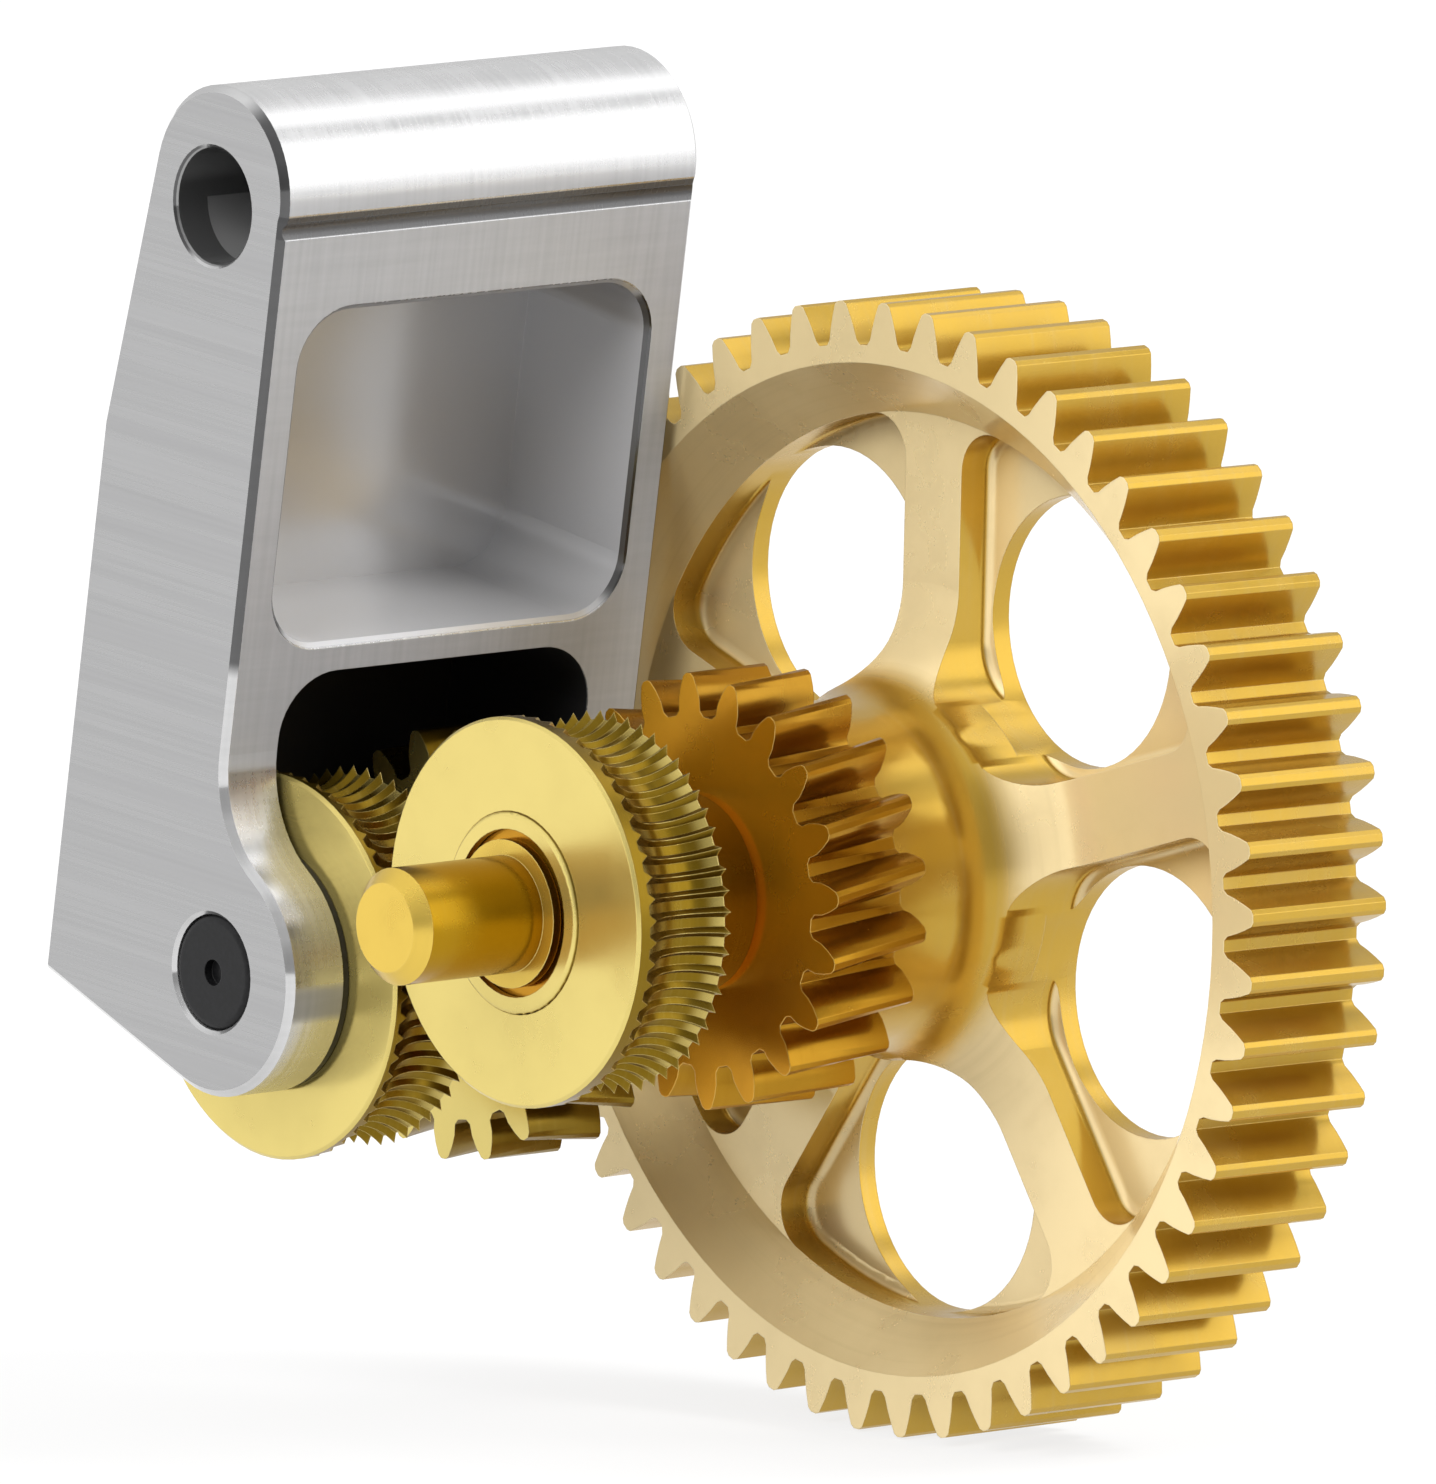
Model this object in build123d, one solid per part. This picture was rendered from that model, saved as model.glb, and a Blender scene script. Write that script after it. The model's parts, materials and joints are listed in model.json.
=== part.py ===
from build123d import *
import math
import os

# Filament drive gear set with its swinging idler arm.
# Y runs along the main shaft, from the front journal to the large gear. Z is up.
# The origin is on the shaft's axis, in the middle of the front journal.

# Main shaft
SHAFT_R = 1.5
JOURNAL_LENGTH = 3.6
SHAFT_CHAMFER = 0.36
COLLAR_R = 1.9
COLLAR_THICKNESS = 0.25
RELIEF_R = 1.3
REAR_RELIEF_WIDTH = 0.55
REAR_JOURNAL_LENGTH = 1.2
REAR_CHAMFER = 0.25

# Filament drive wheels, one on the main shaft and one on the idler
WHEEL_GAP = 0.236
WHEEL_WIDTH = 3.1
GROOVE_ARC_R = 1.65
GROOVE_DEPTH = 0.63
GROOVE_FROM_REAR = 1.22
HOB_TEETH = 56
HOB_DEPTH = 0.17
HOB_FLOOR_WIDTH = 0.24
HOB_MOUTH_WIDTH = 0.66
HOB_MOUTH_HEIGHT = 0.06
HOB_BAND_FROM_GROOVE = 1.6
HOB_BAND_DEPTH = 1.4
WHEEL_EDGE_CHAMFER = 0.08
NECK_R = 2.55
NECK_LENGTH = 2.97
NECK_CHAMFER = 0.15
TAIL_R = 2.3
SHAFT_CLEARANCE = 0.1

# Pinions: helical, an equal pair of opposite hands
PINION_TEETH = 20
PINION_MODULE = 0.48
PINION_WIDTH = 2.95
PINION_PHASE = 3.9
HELIX_ANGLE = 20.0
PRESSURE_ANGLE = 20.0
BACKLASH = 0.12
DEDENDUM = 1.25
FLANK_STEPS = (0.12, 0.4, 0.68, 0.93)
ROOT_SPREAD = 0.45
TIP_SHARE = 0.55

# Large gear
GEAR_TEETH = 53
GEAR_MODULE = 0.5
GEAR_WIDTH = 4.44
GEAR_PHASE = 1.3
GEAR_BEHIND_PINION = 3.15
RIM_INNER_R = 13.02
WEB_OUTER_R = 11.65
RECESS_DEPTH = 1.45
POCKET_DEPTH = 1.0
POCKET_FLOOR_ROUND = 0.3
SPOKES = 5
SPOKE_WIDTH = 2.2
SPOKE_ANGLE = 88.0
WINDOW_R = 3.5
WINDOW_CENTRE_R = 8.17
HUB_R = 4.5
HUB_FLARE_R = 2.8
HUB_LIP_R = 4.9
REAR_BOSS_R = 3.2
OUTER_CORNER_R = 1.1
INNER_CORNER_R = 1.6

# Needle bearings, four alike
CUP_R = 2.6
CUP_LENGTH = 2.7
RACE_R = 2.3
LIP_R = 2.15
LIP_THICKNESS = 0.2
CUP_ROUND = 0.14
CUP_PROUD = 0.1
ROLLERS = 10
ROLLER_GAP = 0.015
CAGE_WALL_GAP = 0.1
CAGE_END_GAP = 0.05
CAGE_RING = 0.17
POCKET_GAP = 0.025

# Idler arm
ARM_TO_GEAR = 0.25
CHEEK = 1.75
ARM_LEAN = 9.75
ARM_THICKNESS = 6.23
FRONT_FACE_BEHIND_PIN = 0.43
PIN_ANGLE = 193.94
LOBE_R = 3.2
LOBE_BLEND_R = 3.0
PIVOT_ABOVE_PIN = 19.72
PIVOT_RIGHT_OF_PIN = 0.12
PIVOT_BORE_R = 1.5
BORE_CHAMFER = 0.1
CROWN_R = 2.68
CROWN_RIGHT_OF_PIN = 0.36
CROWN_ABOVE_PIN = 20.16
CROWN_STEP = 0.2
CROWN_GROOVE_R = 0.35
CROWN_GROOVE_DEPTH = 0.08
CROWN_GROOVE_BELOW_STEP = 0.24
BEND_HEIGHT = 12.87
HEEL_HEIGHT = -1.78
EDGE_CHAMFER = 0.18
RECESS_BOTTOM = 8.4
RECESS_TOP = 17.25
RECESS_SIDE_WALL = 1.15
ARM_RECESS_DEPTH = 4.8
RECESS_CORNER_R = 1.5
RECESS_CHAMFER = 0.15
FORK_TOP = 7.63
FORK_DEPTH = 5.52
FORK_CORNER_R = 1.7

# Idler pin, washers and running gaps
PIN_INSET = 0.06
PIN_END_ROUND = 0.2
PIN_DIMPLE_R = 0.34
PIN_DIMPLE_DEPTH = 0.25
WASHER_R = 3.15
FRONT_WASHER = 0.2
REAR_WASHER = 0.5
END_PLAY = 0.02
IDLER_SETBACK = 0.16
IDLER_PINION_INSET = 0.12
IDLER_BOSS_R = 3.3
WASHER_BORE_GAP = 0.05

# How far a boss sinks into what carries it, and how far a cutter runs past
SINK = 0.3
CUT_MARGIN = 1.0

# Stations along the shaft
shoulder_y = JOURNAL_LENGTH / 2
wheel_front_y = shoulder_y + COLLAR_THICKNESS
wheel_rear_y = wheel_front_y + WHEEL_WIDTH
pinion_front_y = wheel_rear_y + NECK_LENGTH
pinion_rear_y = pinion_front_y + PINION_WIDTH
gear_front_y = pinion_rear_y + GEAR_BEHIND_PINION
gear_rear_y = gear_front_y + GEAR_WIDTH
web_front_y = gear_front_y + RECESS_DEPTH
web_rear_y = gear_rear_y - RECESS_DEPTH
shaft_front_y = -JOURNAL_LENGTH / 2 - SHAFT_CHAMFER
groove_y = wheel_rear_y - GROOVE_FROM_REAR
tail_end_y = gear_front_y
front_cup_y = wheel_front_y - CUP_PROUD
rear_cup_y = gear_rear_y + CUP_PROUD - CUP_LENGTH
bore_r = SHAFT_R + SHAFT_CLEARANCE

# Bearing tracks on the main shaft, between its relief grooves
roller_inset = LIP_THICKNESS + CAGE_END_GAP + CAGE_RING + POCKET_GAP
track_front_y = front_cup_y + roller_inset
track_rear_y = rear_cup_y + CUP_LENGTH - roller_inset
rear_journal_y = track_rear_y + REAR_RELIEF_WIDTH
shaft_rear_y = rear_journal_y + REAR_JOURNAL_LENGTH + REAR_CHAMFER

# Stations along the idler
idler_front_y = wheel_front_y + IDLER_SETBACK
fork_front_y = idler_front_y - FRONT_WASHER - 2 * END_PLAY
arm_front_y = fork_front_y - CHEEK
arm_rear_y = gear_front_y - ARM_TO_GEAR
arm_width = arm_rear_y - arm_front_y
fork_rear_y = arm_rear_y - CHEEK
idler_rear_y = fork_rear_y - REAR_WASHER - 2 * END_PLAY
idler_pinion_rear_y = pinion_rear_y - IDLER_PINION_INSET
idler_front_cup_y = idler_front_y + CUP_PROUD / 2
idler_rear_cup_y = idler_rear_y - CUP_PROUD / 2 - CUP_LENGTH

# Idler centre: the pinions' working centre distance, at the pin's angle
centre_distance = PINION_TEETH * PINION_MODULE / math.cos(math.radians(HELIX_ANGLE))
pin_x = centre_distance * math.cos(math.radians(PIN_ANGLE))
pin_z = centre_distance * math.sin(math.radians(PIN_ANGLE))
wheel_r = (centre_distance - WHEEL_GAP) / 2


def front_plane(y):
    """Plane across the shaft. Its own x is X and its own y is Z, as seen from the front."""
    return Plane.XZ.offset(-y)


def disc(radius, y_start, y_end, x=0.0, z=0.0):
    """Cylinder along Y."""
    profile = front_plane(y_start) * Pos(x, z) * Circle(radius)
    return extrude(profile, amount=y_start - y_end)


def tube(outer_r, inner_r, y_start, y_end, x=0.0, z=0.0):
    """Cylinder along Y with a bore."""
    return disc(outer_r, y_start, y_end, x, z) - disc(inner_r, y_start, y_end, x, z)


def turned(points):
    """Solid turned about the Y axis from (radius, y) points."""
    return revolve(Plane.XY * make_face(Polyline(*points, close=True)), Axis.Y)


def on_idler(shape):
    """Move a shape made on the main shaft to the idler's axis."""
    return Pos(pin_x, 0, pin_z) * shape


def involute(angle):
    return math.tan(angle) - angle


def gear_outline(teeth, module, phase):
    """Points of a helical gear's transverse section, with a tooth centred at the phase angle."""
    helix = math.radians(HELIX_ANGLE)
    pitch_r = teeth * module / math.cos(helix) / 2
    pressure = math.atan(math.tan(math.radians(PRESSURE_ANGLE)) / math.cos(helix))
    base_r = pitch_r * math.cos(pressure)
    tip_r = pitch_r + module
    root_r = pitch_r - DEDENDUM * module
    pitch_half = math.pi / (2 * teeth) - BACKLASH / (4 * pitch_r)

    def half_angle(radius):
        lean = math.acos(min(1.0, base_r / max(radius, base_r)))
        return pitch_half + involute(pressure) - involute(lean)

    height = tip_r - root_r
    flank = [root_r + step * height for step in FLANK_STEPS]
    root_half = ROOT_SPREAD * math.pi / teeth + (1 - ROOT_SPREAD) * half_angle(flank[0])
    side = [(root_r, root_half)]
    side += [(radius, half_angle(radius)) for radius in flank]
    side += [(tip_r, TIP_SHARE * half_angle(tip_r))]
    points = []
    for tooth in range(teeth):
        centre = math.radians(phase) + tooth * math.tau / teeth
        for radius, half in side:
            points.append((radius * math.cos(centre - half), radius * math.sin(centre - half)))
        for radius, half in reversed(side):
            points.append((radius * math.cos(centre + half), radius * math.sin(centre + half)))
    return points


def helical_gear(teeth, module, phase, y_start, y_end, hand):
    """Toothed blank. With hand 1 the teeth turn anticlockwise, seen from the front, towards the rear."""
    pitch_r = teeth * module / math.cos(math.radians(HELIX_ANGLE)) / 2
    twist = math.degrees(hand * math.tan(math.radians(HELIX_ANGLE)) * (y_end - y_start) / pitch_r)
    front = Polygon(*gear_outline(teeth, module, phase), align=None)
    rear = Polygon(*gear_outline(teeth, module, phase + twist), align=None)
    return loft([front_plane(y_start) * front, front_plane(y_end) * rear], ruled=True)


def main_shaft():
    """Standing shaft: front journal, collar, bearing track between two reliefs, and rear journal."""
    return turned([
        (0, shaft_front_y),
        (SHAFT_R - SHAFT_CHAMFER, shaft_front_y),
        (SHAFT_R, shaft_front_y + SHAFT_CHAMFER),
        (SHAFT_R, shoulder_y),
        (COLLAR_R, shoulder_y),
        (COLLAR_R, wheel_front_y),
        (RELIEF_R, wheel_front_y),
        (RELIEF_R, track_front_y),
        (SHAFT_R, track_front_y),
        (SHAFT_R, track_rear_y),
        (RELIEF_R, track_rear_y),
        (RELIEF_R, rear_journal_y),
        (SHAFT_R, rear_journal_y),
        (SHAFT_R, shaft_rear_y - REAR_CHAMFER),
        (SHAFT_R - REAR_CHAMFER, shaft_rear_y),
        (0, shaft_rear_y),
    ])


def hobbed_band():
    """The grooved part of a filament wheel: a ring with a round groove and hobbed teeth across it."""
    front = groove_y - HOB_BAND_FROM_GROOVE
    ring = tube(wheel_r, wheel_r - HOB_BAND_DEPTH, front, wheel_rear_y)
    groove_centre = wheel_r - GROOVE_DEPTH + GROOVE_ARC_R
    ring -= revolve(Plane.XY * Pos(groove_centre, groove_y) * Circle(GROOVE_ARC_R), Axis.Y)
    mouth_x = groove_centre - GROOVE_ARC_R + HOB_MOUTH_HEIGHT
    floor_x = groove_centre - GROOVE_ARC_R - HOB_DEPTH
    section = Polygon(
        (mouth_x, -HOB_MOUTH_WIDTH / 2),
        (mouth_x, HOB_MOUTH_WIDTH / 2),
        (floor_x, HOB_FLOOR_WIDTH / 2),
        (floor_x, -HOB_FLOOR_WIDTH / 2),
        align=None,
    )
    cutter = Pos(0, groove_y, 0) * revolve(Plane.XZ * section, Axis((groove_centre, 0, 0), (0, 0, 1)))
    return ring - [Rot(0, number * 360 / HOB_TEETH, 0) * cutter for number in range(HOB_TEETH)]


def filament_wheel(band, front_y, tail_end, cup_y):
    """Hobbed wheel with its neck, its tail and a seat for a needle bearing."""
    band_front = groove_y - HOB_BAND_FROM_GROOVE
    body = turned([
        (bore_r, front_y),
        (wheel_r - WHEEL_EDGE_CHAMFER, front_y),
        (wheel_r, front_y + WHEEL_EDGE_CHAMFER),
        (wheel_r, band_front),
        (wheel_r - HOB_BAND_DEPTH, band_front),
        (wheel_r - HOB_BAND_DEPTH, wheel_rear_y),
        (NECK_R, wheel_rear_y),
        (NECK_R, pinion_front_y - NECK_CHAMFER),
        (NECK_R - NECK_CHAMFER, pinion_front_y),
        (TAIL_R, pinion_front_y),
        (TAIL_R, tail_end),
        (bore_r, tail_end),
    ])
    return body + band - disc(CUP_R, front_y - CUT_MARGIN, cup_y + CUP_LENGTH)


def main_gear():
    """Large gear: helical rim, dished web with five windows, and a flared hub."""
    blank = helical_gear(GEAR_TEETH, GEAR_MODULE, GEAR_PHASE, gear_front_y, gear_rear_y, 1)
    front_dish = turned([
        (0, gear_front_y - CUT_MARGIN),
        (RIM_INNER_R + CUT_MARGIN, gear_front_y - CUT_MARGIN),
        (RIM_INNER_R, gear_front_y),
        (WEB_OUTER_R, web_front_y),
        (0, web_front_y),
    ])
    rear_dish = turned([
        (0, gear_rear_y + CUT_MARGIN),
        (RIM_INNER_R + CUT_MARGIN, gear_rear_y + CUT_MARGIN),
        (RIM_INNER_R, gear_rear_y),
        (WEB_OUTER_R, web_rear_y),
        (0, web_rear_y),
    ])
    flare_start_y = web_front_y - HUB_FLARE_R
    flare_mid = HUB_FLARE_R * math.sqrt(0.5)
    flare_r = HUB_R + HUB_FLARE_R
    middle_y = (web_front_y + web_rear_y) / 2
    hub_profile = [
        Polyline((0, middle_y), (0, pinion_rear_y), (HUB_R, pinion_rear_y), (HUB_R, flare_start_y)),
        ThreePointArc(
            (HUB_R, flare_start_y),
            (flare_r - flare_mid, web_front_y - HUB_FLARE_R + flare_mid),
            (flare_r, web_front_y),
        ),
        Polyline((flare_r, web_front_y), (flare_r, middle_y), (0, middle_y)),
    ]
    hub = revolve(Plane.XY * make_face(hub_profile), Axis.Y)
    gear = blank - front_dish - rear_dish + hub
    gear += disc(REAR_BOSS_R, web_rear_y - SINK, gear_rear_y)
    gear -= pockets()
    gear -= disc(TAIL_R, pinion_rear_y - CUT_MARGIN, tail_end_y)
    gear -= disc(bore_r, tail_end_y - SINK, gear_rear_y)
    gear -= disc(CUP_R, rear_cup_y, gear_rear_y + CUT_MARGIN)
    return gear


def pockets():
    """The five front pockets between the spokes, each with a round window in its floor."""
    half_sector = 180 / SPOKES
    apex = SPOKE_WIDTH / 2 / math.sin(math.radians(half_sector))
    reach = 2 * WEB_OUTER_R
    side_x = apex + reach * math.cos(math.radians(half_sector))
    side_z = reach * math.sin(math.radians(half_sector))
    wedge = Polygon((apex, 0), (side_x, side_z), (side_x, -side_z), align=None)
    outline = (Circle(WEB_OUTER_R) - Circle(HUB_LIP_R)) & wedge
    corners = outline.vertices().sort_by(lambda corner: math.hypot(corner.X, corner.Y))
    outline = fillet(corners[:2], INNER_CORNER_R)
    corners = outline.vertices().sort_by(lambda corner: math.hypot(corner.X, corner.Y))
    outline = fillet(corners[-2:], OUTER_CORNER_R)
    window = Pos(WINDOW_CENTRE_R, 0) * Circle(WINDOW_R)
    depth = web_front_y + POCKET_DEPTH
    cuts = []
    for number in range(SPOKES):
        turn = Rot(0, 0, SPOKE_ANGLE + half_sector + number * 360 / SPOKES)
        pocket = extrude(front_plane(gear_front_y) * turn * outline, amount=gear_front_y - depth)
        cuts.append(fillet(pocket.faces().sort_by(Axis.Y)[-1].edges(), POCKET_FLOOR_ROUND))
        cuts.append(extrude(front_plane(web_front_y) * turn * window, amount=web_front_y - gear_rear_y))
    return cuts


def bearing_cup(y, x=0.0, z=0.0):
    """Drawn cup with a lip at each end."""
    shell = disc(CUP_R, y, y + CUP_LENGTH)
    shell = fillet(shell.edges().filter_by(GeomType.CIRCLE), CUP_ROUND)
    shell -= disc(RACE_R, y + LIP_THICKNESS, y + CUP_LENGTH - LIP_THICKNESS)
    shell -= disc(LIP_R, y - CUT_MARGIN, y + CUP_LENGTH + CUT_MARGIN)
    return Pos(x, 0, z) * shell


def roller_places():
    """Centres of the rollers round the shaft."""
    pitch_r = (SHAFT_R + RACE_R) / 2
    return [
        (pitch_r * math.cos(number * math.tau / ROLLERS), pitch_r * math.sin(number * math.tau / ROLLERS))
        for number in range(ROLLERS)
    ]


def bearing_rollers(y, x=0.0, z=0.0):
    """Ring of needle rollers, each a solid of its own."""
    roller_r = (RACE_R - SHAFT_R) / 2 - ROLLER_GAP
    start = y + roller_inset
    end = y + CUP_LENGTH - roller_inset
    rollers = [disc(roller_r, start, end, x + place_x, z + place_z) for place_x, place_z in roller_places()]
    return Compound(children=rollers)


def bearing_cage(y, x=0.0, z=0.0):
    """Sleeve that keeps the rollers apart."""
    start = y + LIP_THICKNESS + CAGE_END_GAP
    end = y + CUP_LENGTH - LIP_THICKNESS - CAGE_END_GAP
    cage = tube(RACE_R - CAGE_WALL_GAP, SHAFT_R + CAGE_WALL_GAP, start, end)
    pocket_r = (RACE_R - SHAFT_R) / 2 - ROLLER_GAP + POCKET_GAP
    for place_x, place_z in roller_places():
        cage -= disc(pocket_r, start + CAGE_RING, end - CAGE_RING, place_x, place_z)
    return Pos(x, 0, z) * cage


def tangent_point(point, centre, radius, side):
    """Where a line from a point touches a circle, on the side given by 1 or -1."""
    along_x = point[0] - centre[0]
    along_z = point[1] - centre[1]
    distance = math.hypot(along_x, along_z)
    angle = math.atan2(along_z, along_x) + side * math.acos(radius / distance)
    return (centre[0] + radius * math.cos(angle), centre[1] + radius * math.sin(angle))


def leaning_point(behind_pin, height):
    """Point in the arm's side view, from its distance behind the pin and its height up the front."""
    lean = math.radians(ARM_LEAN)
    return (
        -behind_pin * math.cos(lean) + height * math.sin(lean),
        behind_pin * math.sin(lean) + height * math.cos(lean),
    )


def arm_outline():
    """Side view of the arm, about the pin's centre."""
    lean = math.radians(ARM_LEAN)
    back = FRONT_FACE_BEHIND_PIN + ARM_THICKNESS
    heel = leaning_point(back, HEEL_HEIGHT)
    bend = leaning_point(back, BEND_HEIGHT)
    crown = (CROWN_RIGHT_OF_PIN, CROWN_ABOVE_PIN)
    crown_back = tangent_point(bend, crown, CROWN_R, -1)
    crown_top = (crown[0], crown[1] + CROWN_R)
    crown_front = (crown[0] + CROWN_R * math.cos(lean), crown[1] - CROWN_R * math.sin(lean))
    face_top = leaning_point(FRONT_FACE_BEHIND_PIN, crown_height() - CROWN_STEP)
    across = LOBE_BLEND_R - FRONT_FACE_BEHIND_PIN
    reach = LOBE_R + LOBE_BLEND_R
    blend_height = math.sqrt(reach ** 2 - across ** 2)
    blend = leaning_point(-across, blend_height)
    blend_top = leaning_point(FRONT_FACE_BEHIND_PIN, blend_height)
    blend_low = (blend[0] * LOBE_R / reach, blend[1] * LOBE_R / reach)
    middle = (blend_top[0] + blend_low[0] - 2 * blend[0], blend_top[1] + blend_low[1] - 2 * blend[1])
    scale = LOBE_BLEND_R / math.hypot(*middle)
    blend_middle = (blend[0] + middle[0] * scale, blend[1] + middle[1] * scale)
    lobe_back = tangent_point(heel, (0, 0), LOBE_R, 1)
    lobe_front = (LOBE_R * math.cos(lean), -LOBE_R * math.sin(lean))
    outline = [
        Line(heel, bend),
        Line(bend, crown_back),
        ThreePointArc(crown_back, crown_top, crown_front),
        Line(crown_front, face_top),
        Line(face_top, blend_top),
        ThreePointArc(blend_top, blend_middle, blend_low),
        ThreePointArc(blend_low, lobe_front, lobe_back),
        Line(lobe_back, heel),
    ]
    return make_face(outline)


def crown_height():
    """Height of the crown's centre, along the arm's front face."""
    lean = math.radians(ARM_LEAN)
    return CROWN_RIGHT_OF_PIN * math.sin(lean) + CROWN_ABOVE_PIN * math.cos(lean)


def crown_groove():
    """Cutter for the shallow groove across the front face, just under the crown."""
    outside = CROWN_GROOVE_R - CROWN_GROOVE_DEPTH
    height = crown_height() - CROWN_STEP - CROWN_GROOVE_BELOW_STEP
    across, up = leaning_point(FRONT_FACE_BEHIND_PIN - outside, height)
    start = arm_front_y - CUT_MARGIN
    end = arm_rear_y + CUT_MARGIN
    return disc(CROWN_GROOVE_R, start, end, pin_x + across, pin_z + up)


def bore_tool(radius, x, z):
    """Cutter for a bore through the arm, chamfered at both faces."""
    wide = radius + BORE_CHAMFER
    return Pos(x, 0, z) * turned([
        (0, arm_front_y - CUT_MARGIN),
        (wide, arm_front_y - CUT_MARGIN),
        (wide, arm_front_y),
        (radius, arm_front_y + BORE_CHAMFER),
        (radius, arm_rear_y - BORE_CHAMFER),
        (wide, arm_rear_y),
        (wide, arm_rear_y + CUT_MARGIN),
        (0, arm_rear_y + CUT_MARGIN),
    ])


def idler_arm():
    """Swinging arm: pivot bore at the top, blind recess, and a fork for the idler at the bottom."""
    at_pin = Pos(pin_x, pin_z)
    body = extrude(front_plane(arm_front_y) * at_pin * arm_outline(), amount=-arm_width)
    rims = body.edges().filter_by(
        lambda edge: abs(edge.center().Y - arm_front_y) < 0.01 or abs(edge.center().Y - arm_rear_y) < 0.01
    )
    body = chamfer(rims, EDGE_CHAMFER)
    lean = math.radians(ARM_LEAN)
    face_point = leaning_point(FRONT_FACE_BEHIND_PIN, 0)
    face = Plane(
        origin=(pin_x + face_point[0], 0, pin_z + face_point[1]),
        x_dir=(0, 1, 0),
        z_dir=(math.cos(lean), 0, -math.sin(lean)),
    )
    recess_width = arm_width - 2 * RECESS_SIDE_WALL
    middle_y = (arm_front_y + arm_rear_y) / 2
    recess_height = RECESS_TOP - RECESS_BOTTOM
    at_recess = Pos(middle_y, (RECESS_TOP + RECESS_BOTTOM) / 2)
    recess = at_recess * RectangleRounded(recess_width, recess_height, RECESS_CORNER_R)
    mouth = at_recess * RectangleRounded(
        recess_width + 2 * RECESS_CHAMFER,
        recess_height + 2 * RECESS_CHAMFER,
        RECESS_CORNER_R + RECESS_CHAMFER,
    )
    body -= extrude(face * recess, amount=-ARM_RECESS_DEPTH)
    body -= extrude(face * mouth, amount=-RECESS_CHAMFER, taper=45)
    fork_width = fork_rear_y - fork_front_y
    below_lobe = 2 * LOBE_R
    fork_height = FORK_TOP + LOBE_R + below_lobe
    fork_middle = (fork_front_y + fork_rear_y) / 2
    at_fork = Pos(fork_middle, FORK_TOP - fork_height / 2)
    fork = at_fork * RectangleRounded(fork_width, fork_height, FORK_CORNER_R)
    in_front = 2 * LOBE_R
    body -= extrude(face.offset(in_front) * fork, amount=-(FORK_DEPTH + in_front))
    body -= crown_groove()
    body -= bore_tool(SHAFT_R, pin_x, pin_z)
    body -= bore_tool(PIVOT_BORE_R, pin_x + PIVOT_RIGHT_OF_PIN, pin_z + PIVOT_ABOVE_PIN)
    return body


def idler_pin():
    """Plain pin, rounded at the ends, with a centre dimple in each."""
    start = arm_front_y + PIN_INSET
    end = arm_rear_y - PIN_INSET
    pin = disc(SHAFT_R, start, end)
    pin = fillet(pin.edges().filter_by(GeomType.CIRCLE), PIN_END_ROUND)
    pin -= disc(PIN_DIMPLE_R, start - CUT_MARGIN, start + PIN_DIMPLE_DEPTH)
    pin -= disc(PIN_DIMPLE_R, end - PIN_DIMPLE_DEPTH, end + CUT_MARGIN)
    return on_idler(pin)


def idler_pinion():
    """The idler's toothed end, with a boss behind it and a bearing seat."""
    # A main tooth gap faces the idler, so an idler tooth faces it at the mirrored angle.
    gap = PINION_PHASE + 180 / PINION_TEETH
    pitch = 360 / PINION_TEETH
    gap_offset = (gap - PIN_ANGLE + pitch / 2) % pitch - pitch / 2
    phase = PIN_ANGLE - 180 - gap_offset
    toothed = helical_gear(PINION_TEETH, PINION_MODULE, phase, pinion_front_y, idler_pinion_rear_y, 1)
    toothed += disc(IDLER_BOSS_R, idler_pinion_rear_y - SINK, idler_rear_y)
    toothed -= disc(TAIL_R, pinion_front_y - CUT_MARGIN, idler_rear_cup_y)
    toothed -= disc(CUP_R, idler_rear_cup_y, idler_rear_y + CUT_MARGIN)
    return on_idler(toothed)


def drive_pinion():
    """Pinion on the main cluster."""
    toothed = helical_gear(PINION_TEETH, PINION_MODULE, PINION_PHASE, pinion_front_y, pinion_rear_y, -1)
    return toothed - disc(TAIL_R, pinion_front_y - CUT_MARGIN, pinion_rear_y + CUT_MARGIN)


def idler_washer(y_start, thickness):
    """Thrust washer between a cheek and the idler."""
    return on_idler(tube(WASHER_R, SHAFT_R + WASHER_BORE_GAP, y_start, y_start + thickness))


def write(name, shape):
    shape.label = name
    export_step(shape, f"parts/{name}.step")


os.makedirs("parts", exist_ok=True)
write("main_shaft", main_shaft())
band = hobbed_band()
write("drive_wheel", filament_wheel(band, wheel_front_y, tail_end_y, front_cup_y))
write("drive_pinion", drive_pinion())
write("main_gear", main_gear())
write("idler_arm", idler_arm())
write("idler_pin", idler_pin())
idler_wheel = filament_wheel(band, idler_front_y, idler_rear_cup_y, idler_front_cup_y)
write("idler_drive_wheel", on_idler(idler_wheel))
write("idler_pinion", idler_pinion())
write("idler_front_washer", idler_washer(fork_front_y + END_PLAY, FRONT_WASHER))
write("idler_rear_washer", idler_washer(fork_rear_y - END_PLAY - REAR_WASHER, REAR_WASHER))
bearings = {
    "shaft_front": (front_cup_y, 0.0, 0.0),
    "shaft_rear": (rear_cup_y, 0.0, 0.0),
    "idler_front": (idler_front_cup_y, pin_x, pin_z),
    "idler_rear": (idler_rear_cup_y, pin_x, pin_z),
}
for name, place in bearings.items():
    write(f"{name}_bearing_cup", bearing_cup(*place))
    write(f"{name}_bearing_cage", bearing_cage(*place))
    write(f"{name}_bearing_rollers", bearing_rollers(*place))
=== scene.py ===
"""Looks of the filament drive gear set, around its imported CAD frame. Lengths are in metres."""
import json
import math

import bpy
from mathutils import Matrix, Vector


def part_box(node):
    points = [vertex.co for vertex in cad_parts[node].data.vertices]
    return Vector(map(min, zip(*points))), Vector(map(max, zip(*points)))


MM = 0.001

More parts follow.
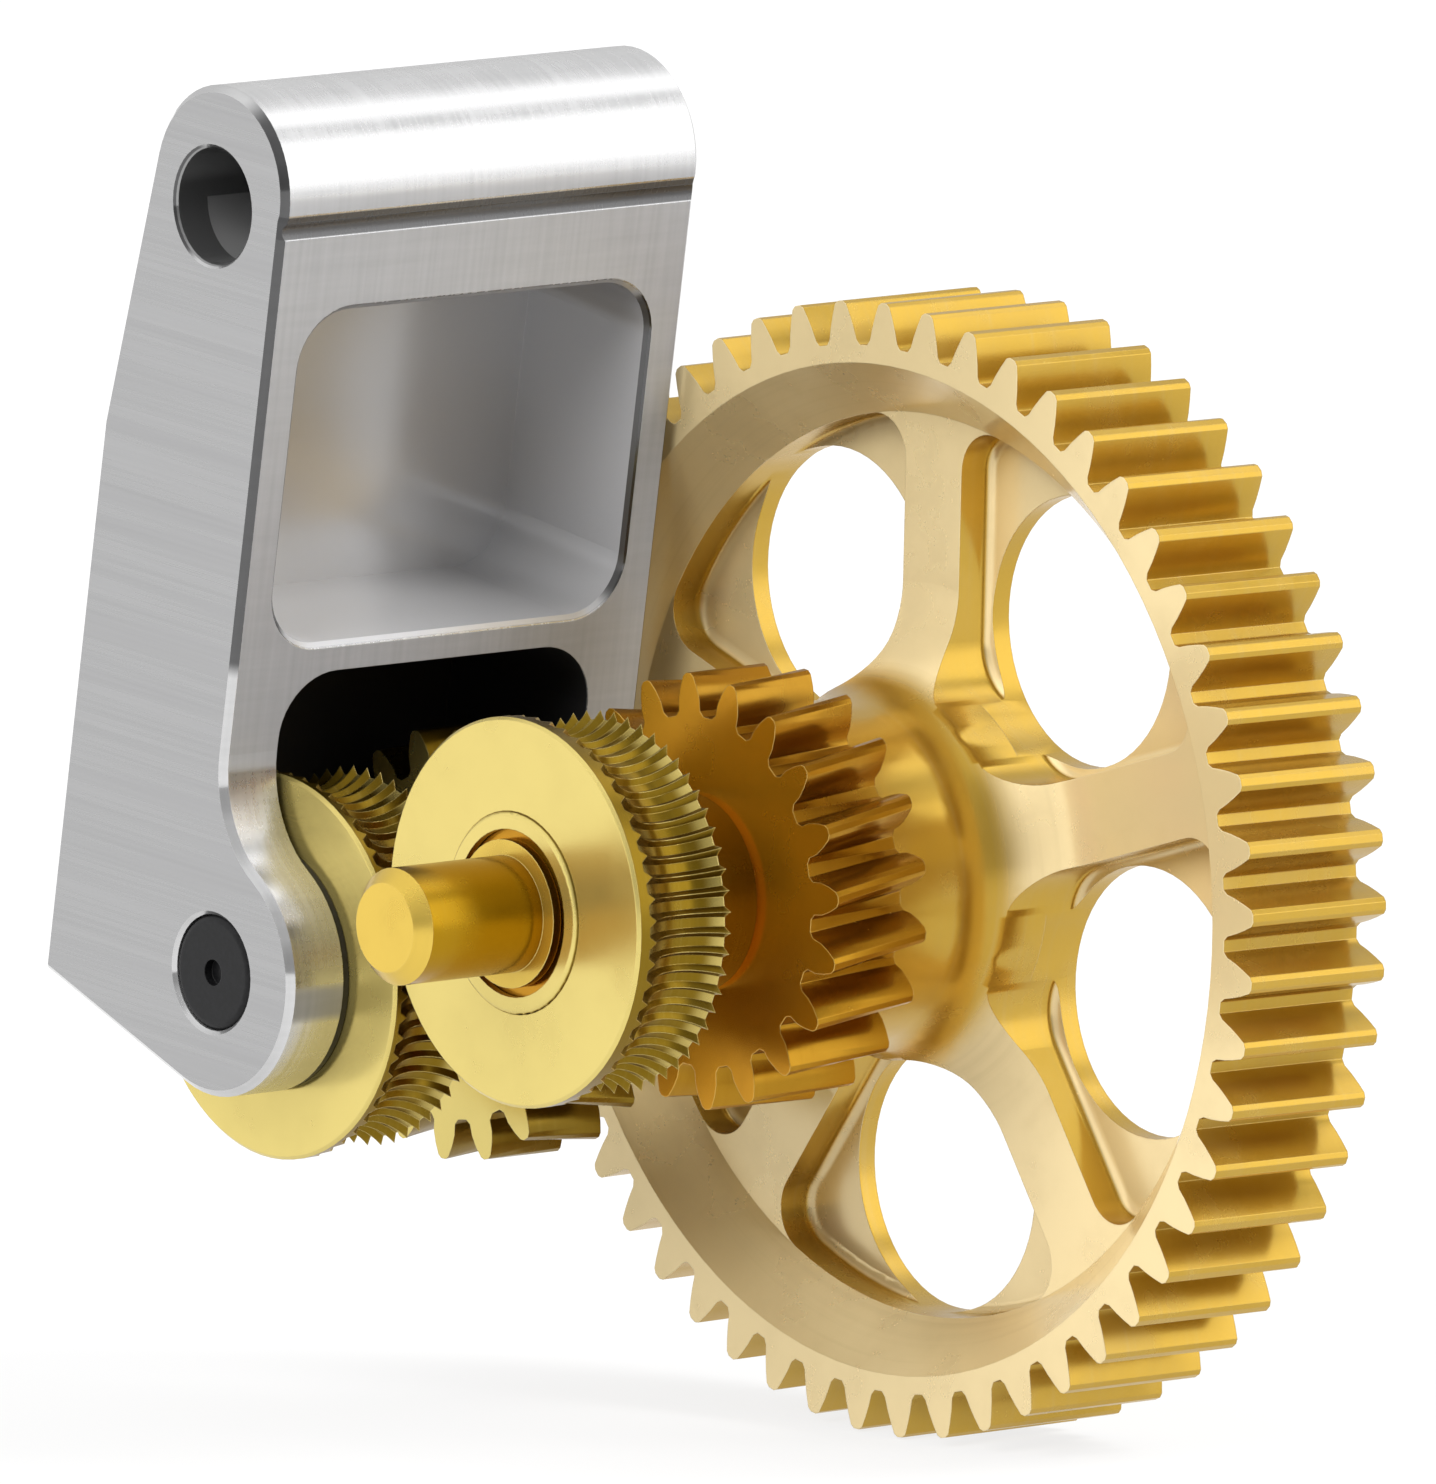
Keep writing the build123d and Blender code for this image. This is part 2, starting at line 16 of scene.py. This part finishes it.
# Camera fitted to the photograph, aimed from a point on the shaft's axis at the large gear's front
IMAGE_WIDTH = 1436
FOCAL_PIXELS = 35033
SENSOR_WIDTH = 36
AZIMUTH = 50.19
ELEVATION = 7.80
AIM_RIGHT = -4.160 * MM
AIM_UP = 3.273 * MM
DISTANCE = 895.37 * MM
ARM_TO_GEAR = 0.25 * MM

# Studio: a pale surround with soft panels of other brightness.
# Each panel is its azimuth and elevation, its inner and outer angle, and its strength.
SURROUND = 0.8
PANELS = [
    (330, 15, 30, 55, 1.25),
    (50, 8, 30, 60, 0.6),
    (50, 6, 10, 24, 0.35),
    (180, 53, 12, 18, 2.4),
    (132, 8, 30, 40, 2.35),
    (152, 44, 3, 8, 0.9),
    (215, 38, 14, 30, 0.9),
    (40, 75, 16, 30, 1.2),
]

# Soft lamps: azimuth, elevation, strength, and the angle that each is wide
LAMPS = {
    "key": (12, 36, 2.4, 40),
    "fill": (125, 42, 2.5, 25),
}

# Arm: direction of its brush lines, and its own places. Both kinds of place are measured from the shaft's
# axis: a depth along the way that the leaning front faces, and a height up along that front.
BRUSH_ANGLE = 5.5
ARM_LEAN = 9.75
CHEEK = 1.75 * MM
RECESS_WALL = 1.05 * MM
FRONT_DEPTH = -9.785 * MM
RECESS_LOW = 4.1 * MM
FORK_TOP = 3.52 * MM
FORK_MARGIN = 0.06 * MM
BORE_MASK_R = 1.54 * MM
# Heights between which a dark band of painted shade runs round the crown
STEP_LINE_LOW = 15.16 * MM
STEP_LINE_HIGH = 15.80 * MM

# Widths over which the arm's masks fade, and depths under its front between which three of them do
MASK_EDGE = 0.05 * MM
STEP_LINE_EDGE = 0.04 * MM
BEHIND_FRONT = (0.02 * MM, 0.06 * MM)
ON_FRONT = (0.16 * MM, 0.08 * MM)
STEP_LINE_DEPTH = (0.3 * MM, 0.2 * MM)
FRONT_CHAMFER_FADE = 0.5 * MM

# Grain, as features per metre: along and across the arm's brush lines, and along X, Y and Z elsewhere
FINE_LINES = (90, 9000)
BROAD_LINES = (50, 2400)
CROSS_STROKES = (160, 6500, 220)
WEAVE = (900, 400, 5200)
TURNING_LINES = (60, 7000, 60)
GROUND_LINES = (80, 12000, 80)
CLOUDS = 420
BLACK_GRAIN = 9000

# Metals: roughness, share of anisotropy, and how far a hollow reaches for its painted shade
PLATED_ROUGHNESS = 0.24
BRUSHED_ROUGHNESS = 0.26
ANISOTROPY = 0.6
HOLLOW_SHADE_REACH = 1.6 * MM

# Radii of the softened edges, and heights of the grain's bumps on turned and on brushed or black metal
GOLD_EDGE = 0.04 * MM
ARM_EDGE = 0.02 * MM
BLACK_EDGE = 0.04 * MM
STEEL_EDGE = 0.03 * MM
TURNED_BUMP = 0.003 * MM
BRUSHED_BUMP = 0.004 * MM

# Round shading: distance over which the CAD facets' corners are joined, and the sharpest angle smoothed
WELD_DISTANCE = 0.0005 * MM
SMOOTH_ANGLE = 32

# Floor: half its width, its gap under the large gear, its grey, and the glow that the camera and metal see
FLOOR_HALF = 4.0
FLOOR_GAP = 0.05 * MM
FLOOR_GREY = 0.16
FLOOR_GLOW = 0.80

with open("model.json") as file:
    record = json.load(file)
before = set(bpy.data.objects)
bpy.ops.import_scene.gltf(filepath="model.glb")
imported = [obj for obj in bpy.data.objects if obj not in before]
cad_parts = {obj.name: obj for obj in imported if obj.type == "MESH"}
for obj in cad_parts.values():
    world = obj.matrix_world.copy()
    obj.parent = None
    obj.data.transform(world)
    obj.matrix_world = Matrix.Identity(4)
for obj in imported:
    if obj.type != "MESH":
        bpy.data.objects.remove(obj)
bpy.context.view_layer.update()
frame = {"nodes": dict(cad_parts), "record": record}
arm_low, arm_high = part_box("idler_arm")
gear_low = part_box("main_gear")[0]
gear_front_y = arm_high.y + ARM_TO_GEAR
mounts = {mount["name"]: mount for mount in frame["record"]["mounts"]}
pivot = Vector(mounts["arm_pivot_bore"]["pos_m"])


def direction(azimuth, elevation):
    """Unit vector towards a place in the studio. Azimuth 0 is -Y and 90 is +X."""
    a = math.radians(azimuth)
    e = math.radians(elevation)
    return Vector((math.sin(a) * math.cos(e), -math.cos(a) * math.cos(e), math.sin(e)))


def make_camera():
    """Long lens at the photograph's angle."""
    azimuth = math.radians(AZIMUTH)
    right = Vector((math.cos(azimuth), math.sin(azimuth), 0))
    back = direction(AZIMUTH, ELEVATION)
    up = back.cross(right)
    eye = Vector((0, gear_front_y, 0)) + right * AIM_RIGHT + up * AIM_UP + back * DISTANCE
    data = bpy.data.cameras.new("camera")
    data.sensor_fit = "HORIZONTAL"
    data.sensor_width = SENSOR_WIDTH
    data.lens = FOCAL_PIXELS * SENSOR_WIDTH / IMAGE_WIDTH
    data.clip_start = DISTANCE / 10
    data.clip_end = DISTANCE * 10
    camera = bpy.data.objects.new("camera", data)
    turn = Matrix((right, up, back)).transposed().to_4x4()
    camera.matrix_world = Matrix.Translation(eye) @ turn
    bpy.context.scene.collection.objects.link(camera)
    bpy.context.scene.camera = camera


class Shading:
    """Short calls for the nodes of one material or world."""

    def __init__(self, tree):
        self.tree = tree

    def node(self, kind, **settings):
        node = self.tree.nodes.new(kind)
        for name, value in settings.items():
            setattr(node, name, value)
        return node

    def put(self, socket, value):
        """Fill an input with a number, a colour or another node's output."""
        if isinstance(value, bpy.types.NodeSocket):
            self.tree.links.new(value, socket)
        elif isinstance(value, (tuple, list)) and len(value) == 3 and socket.type == "RGBA":
            socket.default_value = (*value, 1)
        else:
            socket.default_value = value

    def math(self, operation, first, second=0.0):
        node = self.node("ShaderNodeMath", operation=operation)
        self.put(node.inputs[0], first)
        self.put(node.inputs[1], second)
        return node.outputs[0]

    def ramp(self, value, start, end, low=0.0, high=1.0, smooth=True):
        """Change of a value from low to high as it goes from start to end."""
        kind = "SMOOTHSTEP" if smooth else "LINEAR"
        node = self.node("ShaderNodeMapRange", interpolation_type=kind)
        self.put(node.inputs["Value"], value)
        self.put(node.inputs["From Min"], start)
        self.put(node.inputs["From Max"], end)
        self.put(node.inputs["To Min"], low)
        self.put(node.inputs["To Max"], high)
        return node.outputs["Result"]

    def all_of(self, first, *others):
        """Product of masks."""
        for other in others:
            first = self.math("MULTIPLY", first, other)
        return first

    def within(self, value, low, high):
        return self.all_of(self.math("GREATER_THAN", value, low), self.math("LESS_THAN", value, high))

    def mix(self, factor, first, second):
        """Mix of two colours, whose sockets share their names with others and so go by number."""
        node = self.node("ShaderNodeMix", data_type="RGBA")
        self.put(node.inputs["Factor"], factor)
        self.put(node.inputs[6], first)
        self.put(node.inputs[7], second)
        return node.outputs[2]

    def mix_number(self, factor, first, second):
        node = self.node("ShaderNodeMix", data_type="FLOAT")
        self.put(node.inputs["Factor"], factor)
        self.put(node.inputs["A"], first)
        self.put(node.inputs["B"], second)
        return node.outputs["Result"]

    def dot(self, first, second):
        node = self.node("ShaderNodeVectorMath", operation="DOT_PRODUCT")
        self.put(node.inputs[0], first)
        self.put(node.inputs[1], second)
        return node.outputs["Value"]

    def split(self, vector):
        node = self.node("ShaderNodeSeparateXYZ")
        self.put(node.inputs[0], vector)
        return node.outputs

    def join(self, *values):
        node = self.node("ShaderNodeCombineXYZ")
        for socket, value in zip(node.inputs, values):
            self.put(socket, value)
        return node.outputs[0]

    def distance(self, first, second):
        node = self.node("ShaderNodeVectorMath", operation="DISTANCE")
        self.put(node.inputs[0], first)
        self.put(node.inputs[1], second)
        return node.outputs["Value"]

    def scaled(self, vector, factor):
        node = self.node("ShaderNodeVectorMath", operation="SCALE")
        self.put(node.inputs[0], vector)
        self.put(node.inputs["Scale"], factor)
        return node.outputs[0]

    def place(self):
        """Place on the piece, in metres."""
        return self.node("ShaderNodeTexCoord").outputs["Object"]

    def along(self, place, *directions):
        """Place measured along three directions, whose lengths give the number of features per metre."""
        return self.join(*(self.dot(place, towards) for towards in directions))

    def stretched(self, place, x, y, z):
        """Place with its own number of features per metre along each axis, Y first."""
        return self.along(place, (0, y, 0), (x, 0, 0), (0, 0, z))

    def noise(self, place, scale, detail, roughness):
        node = self.node("ShaderNodeTexNoise")
        self.put(node.inputs["Vector"], place)
        self.put(node.inputs["Scale"], scale)
        self.put(node.inputs["Detail"], detail)
        self.put(node.inputs["Roughness"], roughness)
        return node.outputs["Fac"]

    def facing(self, towards):
        """How far a surface faces a direction of its own piece, so that it turns with the piece."""
        return self.dot(self.node("ShaderNodeTexCoord").outputs["Normal"], towards)

    def axial(self):
        """How far a surface faces along Y, from 0 to 1."""
        return self.math("ABSOLUTE", self.facing((0, 1, 0)))

    def hollow(self, distance):
        """How far a place is closed in by its own piece: 0 in the open, towards 1 in a gap."""
        node = self.node("ShaderNodeAmbientOcclusion", samples=6, only_local=True)
        self.put(node.inputs["Distance"], distance)
        return self.math("SUBTRACT", 1.0, node.outputs["AO"])

    def edge(self, radius):
        """Softened normal, and a mask of the edges that it softens."""
        bevel = self.node("ShaderNodeBevel", samples=6)
        self.put(bevel.inputs["Radius"], radius)
        normal = self.node("ShaderNodeNewGeometry").outputs["Normal"]
        flat = self.dot(bevel.outputs[0], normal)
        return bevel.outputs[0], self.ramp(flat, 0.97, 0.75)

    def bump(self, height, strength, distance, normal):
        node = self.node("ShaderNodeBump")
        self.put(node.inputs["Strength"], strength)
        self.put(node.inputs["Distance"], distance)
        self.put(node.inputs["Height"], height)
        self.put(node.inputs["Normal"], normal)
        return node.outputs[0]


def make_world():
    """White to the camera. Reflections and light come from the pale surround and its panels."""
    world = bpy.data.worlds.new("studio")
    world.use_nodes = True
    bpy.context.scene.world = world
    world.node_tree.nodes.clear()
    shading = Shading(world.node_tree)
    towards = shading.node("ShaderNodeTexCoord").outputs["Generated"]
    level = SURROUND
    for azimuth, elevation, inner, outer, strength in PANELS:
        near = shading.dot(towards, direction(azimuth, elevation))
        inside = shading.ramp(near, math.cos(math.radians(outer)), math.cos(math.radians(inner)))
        level = shading.mix_number(inside, level, strength)
    seen = shading.node("ShaderNodeLightPath").outputs["Is Camera Ray"]
    background = shading.node("ShaderNodeBackground")
    shading.put(background.inputs["Strength"], shading.mix_number(seen, level, 1.0))
    output = shading.node("ShaderNodeOutputWorld")
    shading.put(output.inputs[0], background.outputs[0])


def make_floor():
    """Wide pale floor under the large gear, white but for the object's soft shadow."""
    height = gear_low.z - FLOOR_GAP
    mesh = bpy.data.meshes.new("floor")
    sides = ((-1, -1), (1, -1), (1, 1), (-1, 1))
    corners = [(x * FLOOR_HALF, y * FLOOR_HALF, height) for x, y in sides]
    mesh.from_pydata(corners, [], [(0, 1, 2, 3)])
    floor = bpy.data.objects.new("floor", mesh)
    bpy.context.scene.collection.objects.link(floor)
    material = bpy.data.materials.new("floor")
    material.use_nodes = True
    material.node_tree.nodes.clear()
    shading = Shading(material.node_tree)
    paint = shading.node("ShaderNodeBsdfDiffuse")
    shading.put(paint.inputs["Color"], (FLOOR_GREY, FLOOR_GREY, FLOOR_GREY))
    path = shading.node("ShaderNodeLightPath")
    shown = shading.math("MAXIMUM", path.outputs["Is Camera Ray"], path.outputs["Is Glossy Ray"])
    shown = shading.math("MAXIMUM", shown, path.outputs["Is Transmission Ray"])
    glow = shading.node("ShaderNodeEmission")
    shading.put(glow.inputs["Strength"], shading.math("MULTIPLY", shown, FLOOR_GLOW))
    both = shading.node("ShaderNodeAddShader")
    shading.put(both.inputs[0], paint.outputs[0])
    shading.put(both.inputs[1], glow.outputs[0])
    output = shading.node("ShaderNodeOutputMaterial")
    shading.put(output.inputs["Surface"], both.outputs[0])
    mesh.materials.append(material)


def make_lamps():
    """Diffuse light. The highlights come from the world's panels."""
    for name, (azimuth, elevation, strength, width) in LAMPS.items():
        data = bpy.data.lights.new(name, "SUN")
        data.energy = strength
        data.angle = math.radians(width)
        lamp = bpy.data.objects.new(name, data)
        lamp.rotation_mode = "QUATERNION"
        lamp.rotation_quaternion = direction(azimuth, elevation).to_track_quat("Z", "Y")
        lamp.visible_glossy = False
        bpy.context.scene.collection.objects.link(lamp)


def new_material(name):
    material = bpy.data.materials.new(name)
    material.use_nodes = True
    shading = Shading(material.node_tree)
    return material, shading, material.node_tree.nodes["Principled BSDF"]


def plated(name, face, side, edge_glint_tone, mottle=0.1, metallic=(0.96, 0.8), hollow_shade=0.3):
    """Gold plating on turned metal, with a light tone on the end faces and a deeper one round the sides.

    metallic is the share of metal round the sides and on the end faces. The deeper tone round the sides is
    partly the plating's own and partly painted shade. Edges are brightened with a painted highlight, and the
    last argument is how far hollows are darkened with painted shade.
    """
    material, shading, shader = new_material(name)
    place = shading.place()
    shader.inputs["Anisotropic"].default_value = ANISOTROPY
    tangent = shading.node("ShaderNodeTangent", direction_type="RADIAL", axis="Y")
    shading.put(shader.inputs["Tangent"], tangent.outputs[0])
    clouds = shading.noise(place, CLOUDS, 5.0, 0.62)
    turning = shading.noise(shading.stretched(place, *TURNING_LINES), 1.0, 2.0, 0.55)
    facing = shading.ramp(shading.axial(), 0.42, 0.72)
    # The deeper tone round the sides is partly the plating's own and partly painted shade
    tone = shading.mix(facing, side, face)
    deep = tuple(0.55 * channel ** 1.15 for channel in face)
    tone = shading.mix(shading.ramp(clouds, 0.42, 0.8, 0.0, mottle * 2), tone, deep)
    tone = shading.mix(shading.ramp(turning, 0.5, 0.8, 0.0, 0.15), tone, deep)
    # Painted shade: places closed in by the piece itself are darkened towards a deeper tone
    hollow_shade_tone = tuple(0.3 * channel ** 1.2 for channel in side)
    hollow_shade_mask = shading.ramp(shading.hollow(HOLLOW_SHADE_REACH), 0.12, 0.65, 0.0, hollow_shade)
    tone = shading.mix(hollow_shade_mask, tone, hollow_shade_tone)
    normal, edge_glint = shading.edge(GOLD_EDGE)
    # Painted highlight: the edges are brightened towards the pale edge tone
    tone = shading.mix(shading.math("MULTIPLY", edge_glint, 0.7), tone, edge_glint_tone)
    shading.put(shader.inputs["Base Color"], tone)
    shading.put(shader.inputs["Metallic"], shading.mix_number(facing, *metallic))
    gloss = shading.ramp(clouds, 0.25, 0.8, PLATED_ROUGHNESS * 0.8, PLATED_ROUGHNESS * 1.3)
    shading.put(shader.inputs["Roughness"], gloss)
    shading.put(shader.inputs["Normal"], shading.bump(turning, 0.05, TURNED_BUMP, normal))
    return material


def arm_grain(shading, end_face):
    """Brush lines on the arm's end faces, and crossing tool marks round its sides."""
    place = shading.place()
    tilt = math.radians(BRUSH_ANGLE)
    run = Vector((math.cos(tilt), 0, -math.sin(tilt)))
    across = Vector((math.sin(tilt), 0, math.cos(tilt)))
    layers = []
    for long_way, short_way in (FINE_LINES, BROAD_LINES):
        stretched = shading.along(place, run * long_way, across * short_way, (0, 0, 0))
        layers.append(shading.noise(stretched, 1.0, 1.0, 0.5))
    lines = shading.mix_number(0.5, *layers)
    strokes = shading.noise(shading.stretched(place, *CROSS_STROKES), 1.0, 1.0, 0.5)
    weave = shading.noise(shading.stretched(place, *WEAVE), 1.0, 1.0, 0.5)
    marks = shading.mix_number(0.4, strokes, weave)
    return shading.mix_number(end_face, marks, lines)


def arm_zones(shading):
    """Masks of the arm's zones, from places and directions on the arm, so that they swing with it.

    Numbers beside axial and towards are cosines: how far the surface faces along Y, or the front's way.
    """
    place = shading.place()
    x, y, z = shading.split(place)
    lean = math.radians(ARM_LEAN)
    outward = Vector((math.cos(lean), 0, -math.sin(lean)))
    upward = Vector((math.sin(lean), 0, math.cos(lean)))
    towards = shading.facing(outward)
    depth = shading.dot(place, outward)
    height = shading.dot(place, upward)
    axial = shading.axial()
    inside = shading.ramp(depth, *(FRONT_DEPTH - under for under in BEHIND_FRONT))
    chamfer = shading.all_of(shading.ramp(axial, 0.4, 0.6), shading.ramp(axial, 0.85, 0.75))
    from_pivot = shading.distance(shading.join(x, 0.0, z), (pivot.x, 0, pivot.z))
    return {
        "end_face": shading.ramp(axial, 0.85, 0.95),
        "chamfer": chamfer,
        # Painted shade: a near-black line along the front's chamfer
        "front_chamfer_shade": shading.all_of(
            chamfer,
            shading.ramp(towards, 0.15, 0.4),
            shading.ramp(height, FORK_TOP, FORK_TOP + FRONT_CHAMFER_FADE),
        ),
        "front": shading.all_of(
            shading.ramp(towards, 0.985, 0.998),
            shading.ramp(depth, *(FRONT_DEPTH - under for under in ON_FRONT)),
        ),
        "recess": shading.all_of(
            inside,
            shading.within(y, arm_low.y + RECESS_WALL, arm_high.y - RECESS_WALL),
            shading.ramp(height, RECESS_LOW, RECESS_LOW + MASK_EDGE),
            shading.ramp(height, STEP_LINE_LOW, STEP_LINE_LOW - MASK_EDGE),
            shading.ramp(towards, -0.3, -0.2),
        ),
        # Painted shade: the fork's inside is made near black
        "fork": shading.all_of(
            inside,
            shading.within(y, arm_low.y + CHEEK - FORK_MARGIN, arm_high.y - CHEEK + FORK_MARGIN),
            shading.math("LESS_THAN", height, FORK_TOP + FORK_MARGIN),
            shading.math("GREATER_THAN", towards, -0.35),
        ),
        # Painted shade: a dark band round the crown
        "groove": shading.all_of(
            shading.ramp(height, STEP_LINE_LOW, STEP_LINE_LOW + STEP_LINE_EDGE),
            shading.ramp(height, STEP_LINE_HIGH, STEP_LINE_HIGH - STEP_LINE_EDGE),
            shading.ramp(towards, 0.3, 0.5),
            shading.ramp(depth, *(FRONT_DEPTH - under for under in STEP_LINE_DEPTH)),
        ),
        # Painted shade: darker round and inside the pivot bore
        "bore": shading.math("LESS_THAN", from_pivot, BORE_MASK_R),
    }


def brushed(name, tones):
    """Aluminium: brushed ends, a satin front, polished rounds and edges, with painted shade in the fork and
    bore.
    """
    material, shading, shader = new_material(name)
    zones = arm_zones(shading)
    grain = arm_grain(shading, zones["end_face"])
    grain = shading.mix_number(zones["recess"], grain, 0.5)
    grain = shading.mix_number(zones["bore"], grain, 0.5)

    tone = tones["side"]
    shares = {"end_face": 1.0, "front": 1.0, "recess": 1.0, "front_chamfer_shade": 0.85, "bore": 1.0}
    for zone, share in shares.items():
        tone = shading.mix(shading.math("MULTIPLY", zones[zone], share), tone, tones[zone])
    tone = shading.scaled(tone, shading.ramp(grain, 0.3, 0.7, 0.92, 1.06, smooth=False))
    # Painted shade: the fork's inside is made near black
    tone = shading.mix(zones["fork"], tone, tones["fork"])
    # Painted shade: a dark band round the crown
    tone = shading.mix(shading.math("MULTIPLY", zones["groove"], 0.92), tone, tones["groove"])
    shading.put(shader.inputs["Base Color"], tone)

    metallic = 0.82
    metals = {"end_face": 0.7, "front": 0.25, "recess": 0.38, "groove": 0.2, "fork": 0.0}
    for zone, amount in metals.items():
        metallic = shading.mix_number(zones[zone], metallic, amount)
    shading.put(shader.inputs["Metallic"], metallic)
    gloss = shading.ramp(grain, 0.25, 0.75, BRUSHED_ROUGHNESS * 0.85, BRUSHED_ROUGHNESS * 1.2)
    for zone, amount in {"chamfer": 0.1, "front": 0.42, "recess": 0.2, "fork": 0.5}.items():
        gloss = shading.mix_number(zones[zone], gloss, amount)
    shading.put(shader.inputs["Roughness"], gloss)
    normal = shading.edge(ARM_EDGE)[0]
    shading.put(shader.inputs["Normal"], shading.bump(grain, 0.02, BRUSHED_BUMP, normal))
    return material


def dark(name, color, roughness, specular=0.5):
    """Black satin surface with a fine grain, and edges lightened with a painted highlight."""
    material, shading, shader = new_material(name)
    grain = shading.noise(shading.place(), BLACK_GRAIN, 4.0, 0.6)
    normal, edge_glint = shading.edge(BLACK_EDGE)
    lighter = tuple(channel * 2.2 for channel in color)
    tone = shading.mix(shading.ramp(grain, 0.35, 0.75), color, lighter)
    # Painted highlight: the edges are lightened
    tone = shading.mix(shading.math("MULTIPLY", edge_glint, 0.4), tone, (0.08, 0.08, 0.08))
    shading.put(shader.inputs["Base Color"], tone)
    shader.inputs["Specular IOR Level"].default_value = specular
    shading.put(shader.inputs["Roughness"], shading.ramp(grain, 0.3, 0.8, roughness * 0.8, roughness * 1.2))
    shading.put(shader.inputs["Normal"], shading.bump(grain, 0.2, BRUSHED_BUMP, normal))
    return material


def polished(name, color, roughness):
    """Ground bearing steel with fine lines round it, and edges brightened with a painted highlight."""
    material, shading, shader = new_material(name)
    place = shading.place()
    lines = shading.noise(shading.stretched(place, *GROUND_LINES), 1.0, 3.0, 0.6)
    normal, edge_glint = shading.edge(STEEL_EDGE)
    darker = tuple(channel * 0.8 for channel in color)
    tone = shading.mix(shading.ramp(lines, 0.35, 0.7), color, darker)
    # Painted highlight: the edges are brightened
    tone = shading.mix(shading.math("MULTIPLY", edge_glint, 0.5), tone, (0.85, 0.85, 0.85))
    shading.put(shader.inputs["Base Color"], tone)
    shader.inputs["Metallic"].default_value = 1.0
    shading.put(shader.inputs["Roughness"], shading.ramp(lines, 0.3, 0.7, roughness * 0.8, roughness * 1.3))
    shading.put(shader.inputs["Normal"], shading.bump(lines, 0.1, TURNED_BUMP, normal))
    return material


def smooth(obj, weighting):
    """Round shading over the CAD facets, with sharp edges kept."""
    weld = obj.modifiers.new("weld", "WELD")
    weld.merge_threshold = WELD_DISTANCE
    split = obj.modifiers.new("split", "EDGE_SPLIT")
    split.split_angle = math.radians(SMOOTH_ANGLE)
    split.use_edge_sharp = False
    normals = obj.modifiers.new("normals", "WEIGHTED_NORMAL")
    normals.mode = weighting
    normals.keep_sharp = True


def dress(material, names):
    for name in names:
        mesh = frame["nodes"][name].data
        mesh.materials.clear()
        mesh.materials.append(material)


make_camera()
make_world()
make_floor()
make_lamps()

# Each gold's side tone, darker than its face tone, is partly its own colour and partly painted shade
shaft_gold = plated(
    "amber_shaft",
    face=(0.82, 0.57, 0.10),
    side=(0.40, 0.22, 0.006),
    edge_glint_tone=(0.95, 0.78, 0.34),
)
amber = plated(
    "amber_steel",
    face=(0.64, 0.30, 0.012),
    side=(0.42, 0.22, 0.018),
    edge_glint_tone=(0.93, 0.72, 0.26),
)
lemon = plated(
    "gold_coat",
    face=(0.82, 0.66, 0.21),
    side=(0.22, 0.135, 0.009),
    edge_glint_tone=(0.95, 0.80, 0.36),
    mottle=0.05,
)
pale = plated(
    "pale_gold",
    face=(1.0, 0.80, 0.43),
    side=(0.56, 0.355, 0.052),
    edge_glint_tone=(1.0, 0.86, 0.56),
    metallic=(0.85, 0.4),
    hollow_shade=0.22,
)
aluminium = brushed("brushed_aluminium", {
    "side": (0.64, 0.64, 0.643),
    "end_face": (0.43, 0.43, 0.433),
    "front": (0.44, 0.445, 0.46),
    "recess": (0.60, 0.60, 0.61),
    # Painted shade: a near-black line along the front's chamfer
    "front_chamfer_shade": (0.03, 0.03, 0.031),
    # Painted shade: darker round the pivot bore
    "bore": (0.32, 0.32, 0.32),
    # Painted shade: near black inside the fork
    "fork": (0.012, 0.012, 0.013),
    # Painted shade: a dark band round the crown
    "groove": (0.06, 0.06, 0.062),
})
black = dark("black_steel", (0.006, 0.006, 0.0065), 0.4, specular=0.25)
# The washers' near black is partly their own colour and partly painted shade of the gap beside the idler
# wheel
washer_black_and_shade = dark("black_plastic", (0.012, 0.012, 0.013), 0.5)
steel = polished("bright_steel", (0.70, 0.70, 0.69), 0.2)

dress(shaft_gold, ["main_shaft"])
dress(amber, ["drive_pinion"])
dress(amber, [name for name in frame["nodes"] if name.endswith("_cage")])
dress(lemon, ["drive_wheel", "idler_drive_wheel", "idler_pinion", "shaft_front_bearing_cup"])
dress(pale, ["main_gear"])
dress(aluminium, ["idler_arm"])
dress(black, ["idler_pin"])
dress(washer_black_and_shade, ["idler_front_washer", "idler_rear_washer"])
dress(steel, ["shaft_rear_bearing_cup", "idler_front_bearing_cup", "idler_rear_bearing_cup"])
dress(steel, [name for name in frame["nodes"] if name.endswith("_rollers")])
for name, obj in frame["nodes"].items():
    toothed = "pinion" in name or "wheel" in name
    smooth(obj, "CORNER_ANGLE" if toothed else "FACE_AREA")

bpy.context.scene.view_settings.view_transform = "Standard"
